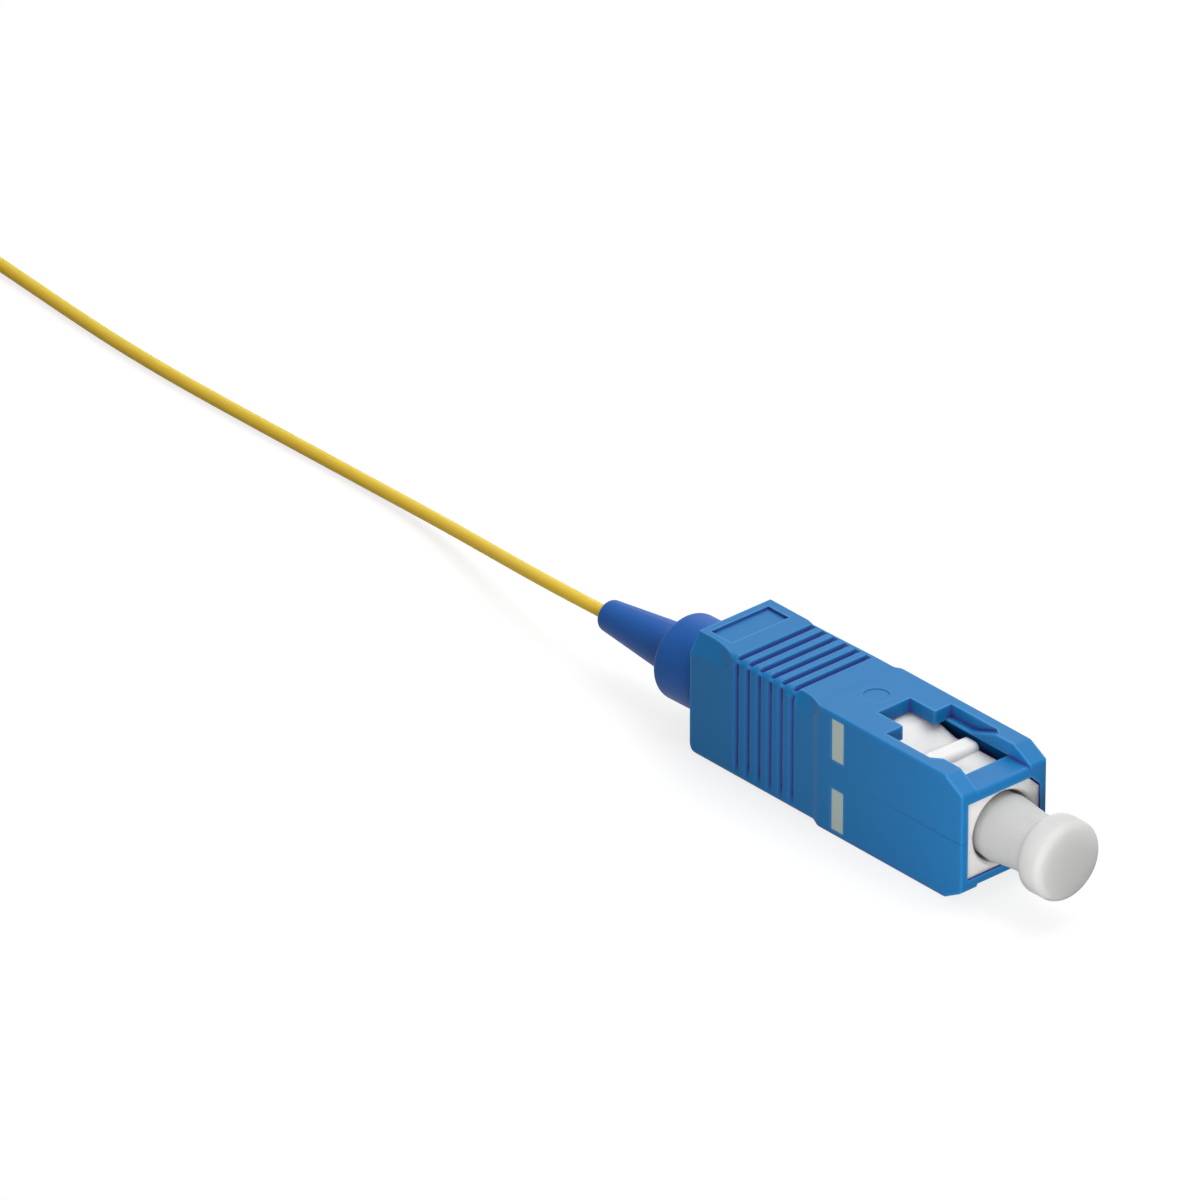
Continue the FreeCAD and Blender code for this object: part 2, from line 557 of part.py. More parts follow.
def outer_housing():
    """Push-pull coupling housing."""
    shape = housing_blank()
    shape = shape.cut(bevel_cutters())
    above, marked = groove_cutters()
    shape = shape.cut([cut for groove in above for cut in above_and_below(groove)])
    shape = shape.cut([cut for groove in marked for cut in both_sides(groove)])
    shape = shape.fuse(housing_key())
    shape = shape.cut(housing_cavity())
    shape = shape.cut([cut for c in window_cutters() for cut in above_and_below(c)])
    shape = shape.cut(above_and_below(lug_pocket()))
    return shape.cut(label_and_ejector_recesses() + mark_boxes(-OVER, MARK_RECESS))


def indicator_marks():
    """Paint fills of the four recesses."""
    return Part.makeCompound(mark_boxes(MARK_RECESS - PAINT_THICKNESS, MARK_RECESS))


# Plug frame

def frame_blank():
    """Rectangular sleeve with two chamfered corners on the key side."""
    return along_x(keyed_section(FRAME_WIDTH, FRAME_HEIGHT, KEYED_CORNER),
                   FRAME_REAR, FRAME_FRONT)


def latch_rail():
    """Raised rail above and below, with the slope and the rounded catch in front of it."""
    top, low = RAIL_HEIGHT / 2, FRAME_HEIGHT / 2
    slope_end = RAIL_FRONT + RAIL_SLOPE
    crest = low + CATCH_HEIGHT
    profile = [(FRAME_REAR, 0), (FRAME_REAR, top), (RAIL_FRONT, top), (slope_end, CATCH_FLOOR),
               (CATCH_REAR, CATCH_FLOOR), (CATCH_REAR + 0.75, crest), (CATCH_FRONT, crest),
               (CATCH_FRONT, low), (FRAME_FRONT - OVER, low), (FRAME_FRONT - OVER, 0)]
    radii = [0, 0, 0.4, 0.3, 0.15, 0.4, 0.4, 0, 0, 0]
    return above_and_below(along_y(profile, -RAIL_WIDTH / 2, RAIL_WIDTH / 2, radii))


def catch_recess():
    """Low zone between the rail's slope and the catch, across the whole frame."""
    low = block(RAIL_FRONT, CATCH_REAR, -FRAME_WIDTH, FRAME_WIDTH, CATCH_FLOOR, FRAME_HEIGHT)
    return above_and_below(low)


def frame_bore():
    """Mouth for the adapter's sleeve, bulkhead hole, spring bore and stop ring bore."""
    stop_step = FRAME_REAR + BARREL_LENGTH + STOP_BORE_SPARE
    return turned([
        (FRAME_FRONT + OVER, 0), (FRAME_FRONT + OVER, MOUTH_RADIUS + MOUTH_CHAMFER),
        (FRAME_FRONT, MOUTH_RADIUS + MOUTH_CHAMFER), (FRAME_FRONT - MOUTH_CHAMFER, MOUTH_RADIUS),
        (BULKHEAD_FRONT, MOUTH_RADIUS), (BULKHEAD_FRONT, NOSE_RADIUS + FIT_GAP),
        (BULKHEAD_REAR, NOSE_RADIUS + FIT_GAP), (BULKHEAD_REAR, SPRING_BORE_RADIUS),
        (stop_step, SPRING_BORE_RADIUS), (stop_step, STOP_BORE_RADIUS),
        (FRAME_REAR - OVER, STOP_BORE_RADIUS), (FRAME_REAR - OVER, 0)])


def flange_keys():
    """Two ribs behind the bulkhead that keep the ferrule flange from turning."""
    width = NOTCH_WIDTH - 4 * FIT_GAP
    inner = COLLAR_RADIUS - NOTCH_DEPTH + 2 * FIT_GAP
    rib = block(COLLAR_REAR, BULKHEAD_REAR + BULKHEAD / 2, -width / 2, width / 2,
                inner, SPRING_BORE_RADIUS + FIT_GAP)
    return above_and_below(rib)


def snap_windows():
    """Openings in the wide sides for the stop ring's teeth."""
    length, width = SNAP_LENGTH + 2 * FIT_GAP, SNAP_WIDTH + 4 * FIT_GAP
    front = SNAP_FRONT + FIT_GAP
    window = block(front - length, front, STOP_BORE_RADIUS - OVER, FRAME_WIDTH, -width / 2,
                   width / 2)
    return both_sides(window)


def frame_lug():
    """Retaining lug on the rail, sloped in front so that it snaps into the housing."""
    base, crest = RAIL_HEIGHT / 2 - OVER / 2, RAIL_HEIGHT / 2 + LUG_HEIGHT
    rear = LUG_FRONT - LUG_LENGTH
    profile = [(rear, base), (LUG_FRONT, base), (LUG_FRONT, crest - LUG_HEIGHT / 2),
               (LUG_FRONT - LUG_HEIGHT, crest), (rear, crest)]
    return above_and_below(along_y(profile, -LUG_WIDTH / 2, LUG_WIDTH / 2))


def plug_frame():
    """Inner frame that holds the ferrule and carries the latch catches."""
    shape = frame_blank().cut(catch_recess())
    shape = shape.fuse(latch_rail() + frame_lug())
    shape = shape.cut(frame_bore())
    shape = shape.fuse(flange_keys())
    return shape.cut(snap_windows()).removeSplitter()


# Ferrule unit

def ferrule():
    """Ceramic ferrule with its fibre hole and rear funnel."""
    tip, rear, chamfer = FERRULE_TIP, FERRULE_REAR, FERRULE_CHAMFER
    return turned([
        (tip, GLASS_RADIUS), (tip, FERRULE_RADIUS - chamfer / 2),
        (tip - chamfer, FERRULE_RADIUS), (rear, FERRULE_RADIUS),
        (rear, FUNNEL_RADIUS), (rear + FUNNEL_LENGTH, GLASS_RADIUS)])


def ferrule_flange():
    """Metal flange: nose, notched collar and a tail inside the spring."""
    guide_seat = TAIL_REAR + GUIDE_SEAT
    nose_front = BULKHEAD_FRONT + NOSE_REACH
    shape = turned([
        (nose_front, FERRULE_RADIUS), (nose_front, NOSE_RADIUS), (COLLAR_FRONT, NOSE_RADIUS),
        (COLLAR_FRONT, COLLAR_RADIUS), (COLLAR_REAR, COLLAR_RADIUS), (COLLAR_REAR, TAIL_RADIUS),
        (TAIL_REAR, TAIL_RADIUS), (TAIL_REAR, GUIDE_RADIUS), (guide_seat, GUIDE_RADIUS),
        (guide_seat, LEAD_BORE_RADIUS), (BARE_BORE_END, LEAD_BORE_RADIUS),
        (BARE_BORE_END, BARE_BORE_RADIUS), (FERRULE_REAR, BARE_BORE_RADIUS),
        (FERRULE_REAR, FERRULE_RADIUS)])
    notch = block(COLLAR_REAR - OVER / 4, COLLAR_FRONT + OVER / 4, -NOTCH_WIDTH / 2,
                  NOTCH_WIDTH / 2, COLLAR_RADIUS - NOTCH_DEPTH, COLLAR_RADIUS + OVER)
    turns = [notch.rotated(V(0, 0, 0), V(1, 0, 0), angle) for angle in (0, 90, 180, 270)]
    notched = rod(COLLAR_REAR, COLLAR_FRONT, COLLAR_RADIUS + OVER)
    return shape.cut([turn.common(notched) for turn in turns])


def guide_tube():
    """Soft tube that guides the buffered lead out of the flange."""
    rear = TAIL_REAR - GUIDE_LENGTH + GUIDE_SEAT
    return rod(rear, TAIL_REAR + GUIDE_SEAT, GUIDE_RADIUS).cut(
        rod(rear - OVER, TAIL_REAR + GUIDE_SEAT + OVER, LEAD_BORE_RADIUS))


def ferrule_spring():
    """Compression spring between the flange collar and the stop ring."""
    front, rear = COLLAR_REAR - WIRE_RADIUS - FIT_GAP, SPRING_SEAT_X + WIRE_RADIUS + FIT_GAP
    length = front - rear
    helix = Part.makeHelix(length / SPRING_TURNS, length, SPRING_RADIUS)
    section = Part.Wire(Part.makeCircle(WIRE_RADIUS, V(SPRING_RADIUS, 0, 0), V(0, 1, 0)))
    spring = Part.Wire(helix.Edges).makePipeShell([section], True, True)
    spring.rotate(V(0, 0, 0), V(0, 1, 0), 90)
    spring.translate(V(rear, 0, 0))
    return spring


def glass_fibre():
    """Bare glass from the ferrule's end face back towards the coated lead."""
    return rod(GLASS_REAR, FERRULE_TIP, GLASS_RADIUS)


# Stop ring, boot and lead

def hung(shape):
    """A shape made on the axis, turned down about the point where the lead bends."""
    return shape.rotated(V(BEND_X, 0, 0), V(0, 1, 0), -BEND_ANGLE)


def stop_ring():
    """Metal ring that closes the plug frame, with a barbed tail for the boot."""
    barrel_front = STOP_COLLAR_FRONT + BARREL_LENGTH
    shape = turned([
        (barrel_front, BARREL_BORE_RADIUS), (barrel_front, BARREL_RADIUS),
        (STOP_COLLAR_FRONT, BARREL_RADIUS), (STOP_COLLAR_FRONT, STOP_COLLAR_RADIUS),
        (STOP_COLLAR_REAR, STOP_COLLAR_RADIUS), (STOP_COLLAR_REAR, STOP_TAIL_RADIUS),
        (STOP_TAIL_REAR, STOP_TAIL_RADIUS), (STOP_TAIL_REAR, STOP_BORE),
        (SPRING_SEAT_X, STOP_BORE), (SPRING_SEAT_X, BARREL_BORE_RADIUS)])
    reach = STOP_BORE_RADIUS + SNAP_REACH
    teeth = block(SNAP_FRONT - SNAP_LENGTH, SNAP_FRONT, BARREL_BORE_RADIUS, reach,
                  -SNAP_WIDTH / 2, SNAP_WIDTH / 2)
    hollow = rod(SPRING_SEAT_X, barrel_front + OVER, BARREL_BORE_RADIUS)
    limit = rod(SNAP_FRONT - SNAP_LENGTH, SNAP_FRONT, reach)
    teeth = [tooth.common(limit).cut(hollow) for tooth in both_sides(teeth)]
    return shape.fuse(teeth + stop_ring_barbs())


def stop_ring_barbs():
    """Saw-tooth rings on the tail."""
    pitch = STOP_TAIL_LENGTH / (BARB_COUNT + 1)
    barbs = []
    for number in range(1, BARB_COUNT + 1):
        front = STOP_COLLAR_REAR - number * pitch
        barbs.append(turned([
            (front, STOP_BORE + BARB_HEIGHT), (front, STOP_TAIL_RADIUS + BARB_HEIGHT),
            (front - BARB_LENGTH, STOP_TAIL_RADIUS),
            (front - BARB_LENGTH, STOP_BORE + BARB_HEIGHT)]))
    return barbs


def boot():
    """Strain relief boot: sleeve inside the housing, shoulder and tapered tail."""
    front = STOP_COLLAR_REAR - FIT_GAP
    inside = STOP_TAIL_RADIUS + BARB_HEIGHT
    bore_end = STOP_TAIL_REAR - FIT_GAP
    outside = [
        (front + OVER, 0), (front + OVER, BOOT_RADIUS), (BOOT_SHOULDER_X, BOOT_RADIUS),
        (BOOT_SHOULDER_X, BOOT_ROOT_RADIUS), (BOOT_TIP_X, BOOT_TIP_RADIUS), (BOOT_TIP_X, 0)]
    rounds = [0, 0, BOOT_SHOULDER_ROUND, BOOT_ROOT_BLEND, BOOT_TIP_ROUND, 0]
    shape = hung(turned(outside, rounds))
    over_tail = rod(bore_end, front, inside).fuse(rod(front, front + 2 * OVER, 2 * BOOT_RADIUS))
    lead_bore = rod(BOOT_TIP_X - OVER, bore_end + OVER, LEAD_RADIUS + BOOT_BORE_GAP)
    return shape.cut([over_tail, hung(lead_bore)])


def buffered_lead():
    """Coated fibre inside the connector, from the flange to the boot's tip."""
    bend = Part.makeSphere(LEAD_RADIUS, V(BEND_X, 0, 0))
    straight = rod(BEND_X, LEAD_START, LEAD_RADIUS)
    return straight.fuse([bend, hung(rod(BOOT_TIP_X, BEND_X, LEAD_RADIUS))]).removeSplitter()


# Dust cap

def dust_cap():
    """Soft cap over the ferrule: thin skirt, waisted neck and a knob to pull it by."""
    profile = [
        (CAP_SKIRT_END, CAP_BORE_RADIUS), (CAP_SKIRT_END, CAP_SKIRT_RADIUS),
        (-1.0, CAP_SKIRT_RADIUS), (0.2, CAP_SKIRT_RADIUS + CAP_COLLAR_STEP),
        (CAP_NECK_X, CAP_NECK_RADIUS),
        (CAP_HEAD_REAR - 0.55, CAP_NECK_RADIUS + 0.1), (CAP_HEAD_REAR, CAP_HEAD_RADIUS),
        (CAP_END_X, CAP_HEAD_RADIUS), (CAP_END_X, 0), (CAP_BORE_END, 0),
        (CAP_BORE_END - 0.5, CAP_BORE_RADIUS)]
    rounds = [0, 0.25, 0.8, 0.6, 1.2, 0.5, CAP_HEAD_ROUND, CAP_END_ROUND, 0, 0, 0]
    return turned(profile, rounds)


# Pigtail outside the connector

def route_edges(points):
    """Straight runs and tangent arcs along a route, and the radii of its arcs."""
    points = [V(*p) for p in points]
    edges, radii, at = [], [], points[0]
    for before, corner, after in zip(points, points[1:], points[2:]):
        back, ahead = before - corner, after - corner
        shorter = min(back.Length, ahead.Length)
        turn = math.pi - back.getAngle(ahead)
        radius = 0.45 * shorter / math.tan(turn / 2)
        back.normalize()
        ahead.normalize()
        start, end = corner + back * (0.45 * shorter), corner + ahead * (0.45 * shorter)
        bisector = (back + ahead).normalize()
        middle = corner + bisector * (radius / math.cos(turn / 2) - radius)
        edges.append(Part.LineSegment(at, start).toShape())
        edges.append(Part.Arc(start, middle, end).toShape())
        radii.append(radius)
        at = end
    edges.append(Part.LineSegment(at, points[-1]).toShape())
    return edges, radii


def fibre_cord():
    """Buffered pigtail from the boot's tip along the surface to the hank."""
    edges, radii = route_edges(CORD_ROUTE)
    path = Part.Wire(edges)
    heading = V(*CORD_ROUTE[1]) - V(*CORD_ROUTE[0])
    section = Part.Wire(Part.makeCircle(LEAD_RADIUS, V(*CORD_ROUTE[0]), heading))
    tube = path.makePipeShell([section], True, False)
    expected = math.pi * LEAD_RADIUS ** 2 * path.Length
    print("cord radii", [round(r, 1) for r in radii])
    print("cord length %.2f, volume %.4f against %.4f" % (path.Length, tube.Volume, expected))
    square_end = hung(block(BOOT_TIP_X, BOOT_TIP_X + OVER, -OVER, OVER, -OVER, OVER))
    return tube.cut([cord_hank(), square_end])


def racetrack(radius, z_from, z_to):
    """Solid with two round ends about the hank's loop centres."""
    x0, x1 = HANK_LOOP_X - HANK_RUN, HANK_LOOP_X
    height = z_to - z_from
    middle = block(x0, x1, HANK_Y - radius, HANK_Y + radius, z_from, z_to)
    ends = [Part.makeCylinder(radius, height, V(x, HANK_Y, z_from)) for x in (x0, x1)]
    return middle.fuse(ends).removeSplitter()


def cord_hank():
    """Outer shape of the wound length, in line with the connector."""
    outer = racetrack(HANK_OUTER, HANK_BOTTOM, HANK_TOP)
    return outer.cut(racetrack(HANK_INNER, HANK_BOTTOM - OVER, HANK_TOP + OVER))


def hank_tie():
    """Tie strap round the middle of the hank, with its head on top."""
    middle = HANK_LOOP_X - HANK_RUN / 2
    x0, x1 = middle - TIE_WIDTH / 2, middle + TIE_WIDTH / 2
    y0, y1 = HANK_Y - HANK_OUTER, HANK_Y + HANK_OUTER
    t = TIE_THICKNESS
    loop = [(y0 - t, HANK_BOTTOM - t), (y1 + t, HANK_BOTTOM - t), (y1 + t, HANK_TOP + t),
            (y0 - t, HANK_TOP + t)]
    strap = along_x(loop, x0, x1, TIE_ROUND)
    strap = strap.cut(block(x0 - OVER, x1 + OVER, y0, y1, HANK_BOTTOM, HANK_TOP))
    length, width, height = TIE_HEAD
    y_middle = HANK_Y + HANK_INNER_RADIUS
    plan = [(middle - length / 2, y_middle - width / 2), (middle + length / 2, y_middle - width / 2),
            (middle + length / 2, y_middle + width / 2), (middle - length / 2, y_middle + width / 2)]
    return strap.fuse(along_z(plan, HANK_TOP, HANK_TOP + height, TIE_ROUND))


PIECES = {
    "outer_housing": outer_housing,
    "indicator_marks": indicator_marks,
    "plug_frame": plug_frame,
    "ferrule": ferrule,
    "ferrule_flange": ferrule_flange,
    "guide_tube": guide_tube,
    "ferrule_spring": ferrule_spring,
    "glass_fibre": glass_fibre,
    "stop_ring": stop_ring,
    "boot": boot,
    "buffered_lead": buffered_lead,
    "dust_cap": dust_cap,
    "fibre_cord": fibre_cord,
    "cord_hank": cord_hank,
    "hank_tie": hank_tie,
}


def main():
    os.makedirs("parts", exist_ok=True)
    for name, make in PIECES.items():
        shape = make()
        shape.exportStep("parts/%s.step" % name)
        print("%-16s solids %d valid %s volume %.4f" % (
            name, len(shape.Solids), shape.isValid(), shape.Volume))


main()
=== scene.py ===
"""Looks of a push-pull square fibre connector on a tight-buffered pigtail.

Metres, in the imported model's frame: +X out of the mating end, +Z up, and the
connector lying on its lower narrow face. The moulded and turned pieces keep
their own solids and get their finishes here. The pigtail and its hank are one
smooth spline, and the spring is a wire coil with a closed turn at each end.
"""
import json
import math

import bmesh
import bpy
from mathutils import Matrix, Vector


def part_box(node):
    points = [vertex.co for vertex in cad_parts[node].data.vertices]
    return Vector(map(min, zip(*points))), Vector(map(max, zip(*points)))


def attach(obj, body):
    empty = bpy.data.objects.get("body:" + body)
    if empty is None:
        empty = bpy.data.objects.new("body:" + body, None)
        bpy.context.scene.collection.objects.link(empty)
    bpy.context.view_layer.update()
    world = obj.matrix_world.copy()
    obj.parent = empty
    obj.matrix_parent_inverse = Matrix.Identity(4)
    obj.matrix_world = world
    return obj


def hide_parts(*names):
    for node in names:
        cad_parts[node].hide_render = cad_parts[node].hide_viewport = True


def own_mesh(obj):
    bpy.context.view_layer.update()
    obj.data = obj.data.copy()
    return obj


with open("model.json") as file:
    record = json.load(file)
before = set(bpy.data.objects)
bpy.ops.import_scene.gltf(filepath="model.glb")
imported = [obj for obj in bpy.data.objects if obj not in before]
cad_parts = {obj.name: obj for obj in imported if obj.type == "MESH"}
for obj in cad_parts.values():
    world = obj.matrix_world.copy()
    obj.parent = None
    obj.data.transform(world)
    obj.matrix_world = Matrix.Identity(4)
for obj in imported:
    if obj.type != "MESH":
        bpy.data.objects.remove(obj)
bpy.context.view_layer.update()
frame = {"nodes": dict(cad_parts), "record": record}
NODES = frame["nodes"]
MM = 0.001

# Camera: turn about the vertical, tilt, roll, distance, and its aim across and up its picture
AZIMUTH = math.radians(48.302)
ELEVATION = math.radians(29.415)
ROLL = math.radians(0.108)
DISTANCE = 1.15686
AIM_ACROSS = -25.901 * MM
AIM_UP = 14.545 * MM
LENS = 541.5
FILM = 36.0
NEAREST = 0.1
FARTHEST = 20.0

# Buffered fibre: diameter, whole length, and route in millimetres from the boot's tip
CORD_DIAMETER = 0.9 * MM
CORD_STEPS = 5              # smoothness of its curve and section
LAID_Z = -4.05
CORD_ROUTE = [
    (-38.193, 0.0, -0.508), (-42.0, 0.13, -0.7), (-46.5, 0.85, -1.35), (-51.5, 2.01, -2.3),
    (-57.0, 3.19, -3.25), (-63.0, 3.9, -3.88), (-70.0, 4.02, LAID_Z),
    (-78.0, 3.93, LAID_Z), (-86.0, 3.9, LAID_Z), (-92.5, 4.12, LAID_Z),
    (-98.5, 4.6, LAID_Z), (-104.5, 5.18, LAID_Z), (-110.5, 5.62, LAID_Z + 0.1),
    (-117.0, 5.7, LAID_Z + 0.25),
]

# Hank, in millimetres: round ends about two centres, wound in columns and layers
HANK_COLUMNS = 3
HANK_LAYERS = 6
HANK_RUN = 14.4
HANK_LOOP_X = -115.0
HANK_Y = 1.2
HANK_INNER_RADIUS = 2.7
HANK_FIRST_Z = LAID_Z + 0.25
END_POINTS = 5              # control points round one end
SHIFT_MARGIN = 3.6          # from an end to where a turn changes its column

# Spring behind the ferrule's flange: wire, and turns with a closed one at each end
WIRE_RADIUS = 0.2 * MM
WIRE_STEPS = 3
SPRING_TURNS = 6
TURN_POINTS = 12

# Moulded surface: its grain and its slow drift, as scale and detail, and the height of its bumps
GRAIN_SIZE = 9000.0
GRAIN_DETAIL = 4.0
DRIFT_SIZE = 260.0
DRIFT_DETAIL = 3.0
BUMP_HEIGHT = 0.1 * MM
GRAIN_INPUTS = (
    ("Colour", "NodeSocketColor", (0.5, 0.5, 0.5, 1)),
    ("Tone", "NodeSocketFloat", 0.05),
    ("Gloss", "NodeSocketFloat", 0.35),
    ("Gloss Drift", "NodeSocketFloat", 0.06),
    ("Grain Size", "NodeSocketFloat", GRAIN_SIZE),
)
GRAIN_OUTPUTS = (
    ("Colour", "NodeSocketColor"),
    ("Roughness", "NodeSocketFloat"),
    ("Height", "NodeSocketFloat"),
)

# Painted shade in recesses and painted highlight along edges: how far a near wall counts, and the
# openness where each is full or gone
WALL_SAMPLES = 8
RECESS_SHADE_REACH = 0.5 * MM
RECESS_SHADE_FULL = 0.2
RECESS_SHADE_NONE = 0.88
EDGE_HIGHLIGHT_REACH = 0.25 * MM
EDGE_HIGHLIGHT_FULL = 0.3
EDGE_HIGHLIGHT_NONE = 0.95

# Mould line on the sides of the nose
LINE_HALF_WIDTH = 0.09 * MM
LINE_LENGTH = 12 * MM

# Studio: the floor glows where it is seen, so that it is white where nothing shades it
FLOOR_HALF = 3.0
FLOOR_GAP = 0.02 * MM       # below the housing
FLOOR_TONE = 0.25
FLOOR_GLOW = 0.78
SKY_LIGHT = 0.38            # on the object
SKY_SEEN = 1.0
LAMPS = (                   # name, place, aim, side and watts
    ("lamp_top", (-0.1, 0.25, 0.55), (-0.012, 0, 0), 0.5, 2.4),
    ("lamp_back", (-0.2, 0.2, 0.17), (0, 0, 0), 0.1, 0.05),
    ("lamp_window", (-0.012, 0.012, 0.055), (-0.01, 0, 0), 0.03, 0.008),
    ("lamp_nose", (0.029, -0.031, 0.006), (0, 0, -0.001), 0.025, 0.018),
)


# Helpers

def metres(points):
    """Points in millimetres as vectors in metres."""
    return [Vector(p) * MM for p in points]


def smooth_wire(name, points, radius, steps):
    """Curve object of one smooth spline with these control points and a round section."""
    curve = bpy.data.curves.new(name, "CURVE")
    curve.dimensions = "3D"
    curve.bevel_depth = radius
    curve.bevel_resolution = steps
    curve.resolution_u = steps
    curve.use_fill_caps = True
    spline = curve.splines.new("NURBS")
    spline.points.add(len(points) - 1)
    for target, point in zip(spline.points, points):
        target.co = (*point, 1.0)
    spline.order_u = 3
    spline.use_endpoint_u = True
    return bpy.data.objects.new(name, curve)


def place_object(thing):
    """Links an object to the scene."""
    bpy.context.scene.collection.objects.link(thing)


# Camera

def add_camera():
    """Long lens, from the front, above and to the marked side."""
    back = Vector((math.sin(AZIMUTH) * math.cos(ELEVATION),
                   -math.cos(AZIMUTH) * math.cos(ELEVATION), math.sin(ELEVATION)))
    level = Vector((math.cos(AZIMUTH), math.sin(AZIMUTH), 0))
    rise = back.cross(level)
    right = level * math.cos(ROLL) + rise * math.sin(ROLL)
    up = rise * math.cos(ROLL) - level * math.sin(ROLL)
    data = bpy.data.cameras.new("camera")
    data.lens = LENS
    data.sensor_width = FILM
    data.clip_start = NEAREST
    data.clip_end = FARTHEST
    camera = bpy.data.objects.new("camera", data)
    place_object(camera)
    place = right * AIM_ACROSS + up * AIM_UP + back * DISTANCE
    turn = Matrix((right, up, back)).transposed().to_4x4()
    camera.matrix_world = Matrix.Translation(place) @ turn
    bpy.context.scene.camera = camera


# Buffered fibre

def round_end(centre_x, radius, z, towards):
    """Control points round one end; towards is -1 for the end away from the connector."""
    step = math.pi / END_POINTS
    reach = radius / math.cos(step / 2)
    points = []
    for number in range(END_POINTS):
        angle = (number + 0.5) * step
        side = math.cos(angle) if towards < 0 else -math.cos(angle)
        points.append((centre_x + towards * reach * math.sin(angle), HANK_Y + reach * side, z))
    return points


def hank_points():
    """Every turn of the hank, from the outer column of the lowest layer upwards."""
    far_end, near_end = HANK_LOOP_X - HANK_RUN, HANK_LOOP_X
    inward = list(range(HANK_COLUMNS - 1, -1, -1))
    places = []
    for layer in range(HANK_LAYERS):
        columns = inward if layer % 2 == 0 else inward[::-1]
        places += [(column, layer) for column in columns]
    sizes = [(HANK_INNER_RADIUS + column * CORD_DIAMETER / MM,
              HANK_FIRST_Z + layer * CORD_DIAMETER / MM) for column, layer in places]
    points = []
    for number, (radius, z) in enumerate(sizes):
        points.append(((far_end + near_end) / 2, HANK_Y + radius, z))
        points += round_end(far_end, radius, z, -1)
        points.append((far_end + SHIFT_MARGIN, HANK_Y - radius, z))
        if number + 1 < len(sizes):
            radius, z = sizes[number + 1]
            points.append((near_end - SHIFT_MARGIN, HANK_Y - radius, z))
            points += round_end(near_end, radius, z, 1)
    return points


def add_cord(material):
    """The pigtail from the boot's tip to its bare end in the hank."""
    points = metres(CORD_ROUTE + hank_points())
    cord = smooth_wire("buffered_fibre", points, CORD_DIAMETER / 2, CORD_STEPS)
    cord.data.materials.append(material)
    place_object(cord)
    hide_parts("fibre_cord", "cord_hank")
    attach(cord, "plug")


# Spring

def spring_points(low, high):
    """Control points of the coil, whose first and last turns lie wire on wire.

    They stand a little outside it, because the spline runs inside its control points.
    """
    radius = (high.y - low.y) / 2 - WIRE_RADIUS
    reach = radius / math.cos(math.pi / TURN_POINTS)
    wire = 2 * WIRE_RADIUS
    open_turns = SPRING_TURNS - 2
    closed_length = 3 * wire
    pitch = (high.x - low.x - closed_length) / open_turns
    points = []
    for number in range(SPRING_TURNS * TURN_POINTS + 1):
        turn = number / TURN_POINTS
        between = min(max(turn - 1, 0), open_turns)
        angle = 2 * math.pi * turn
        points.append((low.x + WIRE_RADIUS + (turn - between) * wire + between * pitch,
                       reach * math.cos(angle), reach * math.sin(angle)))
    return points


def add_spring(material):
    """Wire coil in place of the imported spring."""
    low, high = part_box("ferrule_spring")
    points = spring_points(low, high)
    wire = smooth_wire("spring_wire", points, WIRE_RADIUS, WIRE_STEPS)
    mesh = bpy.data.meshes.new_from_object(wire)
    bpy.data.curves.remove(wire.data)
    mesh.materials.clear()
    mesh.materials.append(material)
    coil = bpy.data.objects.new("spring_coil", mesh)
    place_object(coil)
    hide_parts("ferrule_spring")
    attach(coil, "plug")
    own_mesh(coil)


# Finishes

def math_node(nodes, operation):
    """Maths node for this operation."""
    node = nodes.new("ShaderNodeMath")
    node.operation = operation
    return node


def noise_node(nodes, link, place, detail):
    """Noise of this detail in the object's own coordinates."""
    node = nodes.new("ShaderNodeTexNoise")
    node.inputs["Detail"].default_value = detail
    link(place.outputs["Object"], node.inputs["Vector"])
    return node


def grain_sockets(group):
    """Inputs and outputs of the moulded surface."""
    for name, kind, default in GRAIN_INPUTS:
        socket = group.interface.new_socket(name, in_out="INPUT", socket_type=kind)
        socket.default_value = default
    for name, kind in GRAIN_OUTPUTS:
        group.interface.new_socket(name, in_out="OUTPUT", socket_type=kind)


def grain_group():
    """Moulded surface: fine grain for a bump, and a slow drift of tone and gloss."""
    group = bpy.data.node_groups.new("moulded_grain", "ShaderNodeTree")
    grain_sockets(group)
    nodes, link = group.nodes, group.links.new
    given = nodes.new("NodeGroupInput")
    out = nodes.new("NodeGroupOutput")
    place = nodes.new("ShaderNodeTexCoord")
    grain = noise_node(nodes, link, place, GRAIN_DETAIL)
    link(given.outputs["Grain Size"], grain.inputs["Scale"])
    link(grain.outputs["Fac"], out.inputs["Height"])
    drift = noise_node(nodes, link, place, DRIFT_DETAIL)
    drift.inputs["Scale"].default_value = DRIFT_SIZE
    centred = math_node(nodes, "SUBTRACT")
    centred.inputs[1].default_value = 0.5
    link(drift.outputs["Fac"], centred.inputs[0])
    tone = math_node(nodes, "MULTIPLY_ADD")
    tone.inputs[2].default_value = 1.0
    link(centred.outputs[0], tone.inputs[0])
    link(given.outputs["Tone"], tone.inputs[1])
    tint = nodes.new("ShaderNodeVectorMath")
    tint.operation = "SCALE"
    link(given.outputs["Colour"], tint.inputs[0])
    link(tone.outputs[0], tint.inputs["Scale"])
    link(tint.outputs[0], out.inputs["Colour"])
    gloss = math_node(nodes, "MULTIPLY_ADD")
    link(centred.outputs[0], gloss.inputs[0])
    link(given.outputs["Gloss Drift"], gloss.inputs[1])
    link(given.outputs["Gloss"], gloss.inputs[2])
    link(gloss.outputs[0], out.inputs["Roughness"])
    return group


GRAIN = grain_group()


def srgb(red, green, blue):
    """Linear colour from 0 to 255 display values."""
    def linear(value):
        value /= 255.0
        return value / 12.92 if value <= 0.04045 else ((value + 0.055) / 1.055) ** 2.4
    return (linear(red), linear(green), linear(blue), 1.0)


